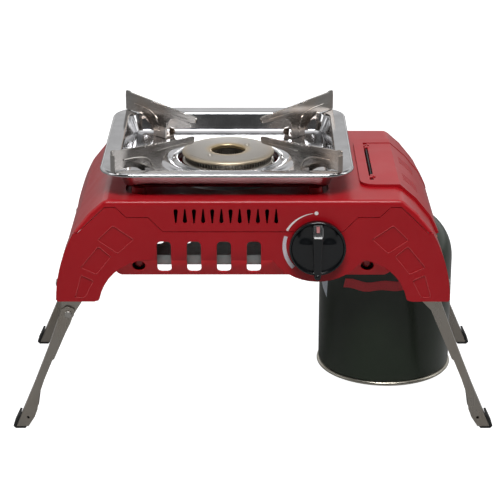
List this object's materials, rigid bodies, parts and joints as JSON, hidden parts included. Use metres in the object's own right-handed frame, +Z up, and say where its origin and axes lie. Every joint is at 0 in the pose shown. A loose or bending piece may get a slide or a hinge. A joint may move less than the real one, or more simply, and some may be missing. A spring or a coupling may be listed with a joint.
{
  "type": "folding camp stove",
  "caption": "Single-burner camping gas stove with a hinged canister lid, lift-off drip pan with pot supports, push-and-turn knob, screw-on upright canister and folding legs.",
  "frame": {"origin": "middle of the bounding box at ground level, under the body", "axes": "+X to the right as seen from the knob side, +Y towards the back, +Z up; the knob faces -Y"},
  "size_m": [0.382, 0.2046, 0.2298],
  "materials": {
    "red_enamel": "gloss red baked enamel",
    "stainless": "polished stainless steel",
    "leg_steel": "satin stainless steel, slightly warm",
    "galvanised": "galvanised sheet steel",
    "brass": "turned brass",
    "aluminium": "cast aluminium",
    "black_plastic": "moulded gloss black",
    "red_plastic": "moulded red insert",
    "black_rubber": "moulded rubber",
    "green_enamel": "gloss dark green lacquer",
    "ceramic": "glazed ceramic"
  },
  "bodies": {
    "stove": {"bottom_plate": "galvanised", "burner_bowl": "aluminium", "burner_cap": "stainless", "canister_seal": "black_rubber", "flame_ring": "stainless", "front_frame": "red_enamel", "front_left_bracket_screw": "leg_steel", "front_left_frame_screw": "leg_steel", "front_left_leg_bracket": "leg_steel", "front_left_pivot_pin": "leg_steel", "front_right_bracket_screw": "leg_steel", "front_right_frame_screw": "leg_steel", "front_right_leg_bracket": "leg_steel", "front_right_pivot_pin": "leg_steel", "gas_valve": "brass", "heat_shield": "galvanised", "hood": "red_enamel", "igniter_lead": "black_rubber", "injector": "brass", "inlet_pipe": "brass", "lid_hinge_pin": "leg_steel", "mixing_tube": "aluminium", "outlet_pipe": "brass", "piezo_igniter": "black_plastic", "rear_frame": "red_enamel", "rear_left_bracket_screw": "leg_steel", "rear_left_frame_screw": "leg_steel", "rear_left_leg_bracket": "leg_steel", "rear_left_pivot_pin": "leg_steel", "rear_right_bracket_screw": "leg_steel", "rear_right_frame_screw": "leg_steel", "rear_right_leg_bracket": "leg_steel", "rear_right_pivot_pin": "leg_steel", "regulator": "brass", "return_spring": "stainless", "spark_ceramic": "ceramic", "spark_tip": "stainless"},
    "lid": {"canister_lid": "red_enamel"},
    "pan": {"drip_pan": "stainless", "pot_support_front_left": "stainless", "pot_support_front_right": "stainless", "pot_support_rear_left": "stainless", "pot_support_rear_right": "stainless"},
    "plunger": {"push_collar": "brass"},
    "dial": {"knob": "black_plastic", "knob_pointer": "red_plastic", "spindle": "brass"},
    "gas_can": {"canister": "green_enamel", "canister_base_ring": "stainless", "canister_valve": "brass"},
    "front_left_leg_body": {"front_left_leg": "leg_steel", "front_left_foot": "black_rubber"},
    "front_right_leg_body": {"front_right_leg": "leg_steel", "front_right_foot": "black_rubber"},
    "rear_left_leg_body": {"rear_left_leg": "leg_steel", "rear_left_foot": "black_rubber"},
    "rear_right_leg_body": {"rear_right_leg": "leg_steel", "rear_right_foot": "black_rubber"}
  },
  "joints": [
    {"name": "lid_open", "type": "hinge", "parent": "stove", "child": "lid", "pos_m": [0.0933, 0.00725, 0.1933], "axis": [0, -1, 0], "range_deg": [0, 75]},
    {"name": "pan_lift", "type": "slide", "parent": "stove", "child": "pan", "axis": [0, 0, 1], "range_m": [0, 0.05]},
    {"name": "knob_push", "type": "slide", "parent": "stove", "child": "plunger", "axis": [0, 1, 0], "range_m": [0, 0.0024], "stiffness_N_per_m": 600, "springref_m": -0.002, "deforming": ["return_spring"]},
    {"name": "knob_turn", "type": "hinge", "parent": "plunger", "child": "dial", "pos_m": [0.0493, -0.08675, 0.156], "axis": [0, -1, 0], "range_deg": [0, 150]},
    {"name": "canister_drop", "type": "slide", "parent": "stove", "child": "gas_can", "axis": [0, 0, -1], "range_m": [0, 0.018]},
    {"name": "front_left_leg_fold", "type": "hinge", "parent": "stove", "child": "front_left_leg_body", "pos_m": [-0.144, -0.07675, 0.0978], "axis": [0, -1, 0], "range_deg": [0, 112]},
    {"name": "front_right_leg_fold", "type": "hinge", "parent": "stove", "child": "front_right_leg_body", "pos_m": [0.135, -0.07675, 0.1175], "axis": [0, 1, 0], "range_deg": [0, 112]},
    {"name": "rear_left_leg_fold", "type": "hinge", "parent": "stove", "child": "rear_left_leg_body", "pos_m": [-0.144, 0.09225, 0.0978], "axis": [0, -1, 0], "range_deg": [0, 112]},
    {"name": "rear_right_leg_fold", "type": "hinge", "parent": "stove", "child": "rear_right_leg_body", "pos_m": [0.135, 0.09225, 0.1175], "axis": [0, 1, 0], "range_deg": [0, 112]}
  ]
}
